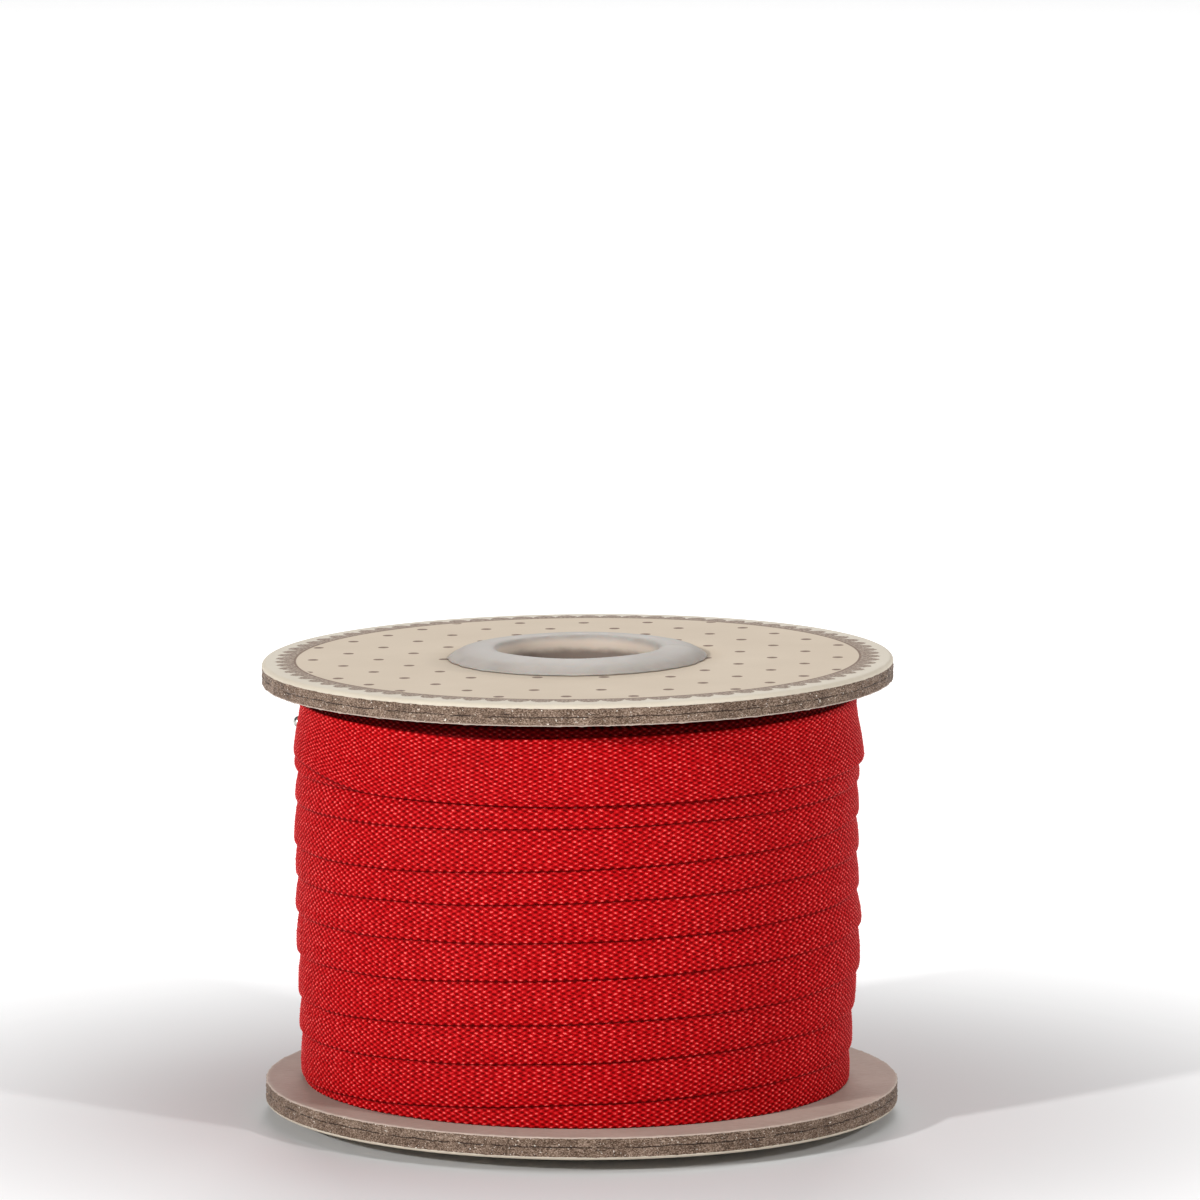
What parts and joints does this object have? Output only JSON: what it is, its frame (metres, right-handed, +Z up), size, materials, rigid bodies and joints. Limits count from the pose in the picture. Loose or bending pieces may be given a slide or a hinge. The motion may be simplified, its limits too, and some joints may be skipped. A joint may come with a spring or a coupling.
{
  "type": "roll of gift ribbon",
  "caption": "Roll of narrow red woven gift ribbon, wound in overlapping turns on a spool of two printed board discs with a plastic hub.",
  "frame": {"origin": "under the middle of the whole width, on the surface that the hub's lower lip stands on", "axes": "+Z up along the spool's axis, +X to the right and +Y to the back as seen from the front"},
  "size_m": [0.0642, 0.064, 0.0479],
  "materials": {
    "ribbon": "plain woven, slight sheen",
    "board": "uncoated greyboard faced with printed paper",
    "hub_plastic": "translucent white, satin",
    "pin_steel": "polished"
  },
  "bodies": {
    "root": {"ribbon_roll": "ribbon", "flange_top": "board", "flange_bottom": "board", "hub": "hub_plastic", "pin": "pin_steel"}
  },
  "joints": []
}
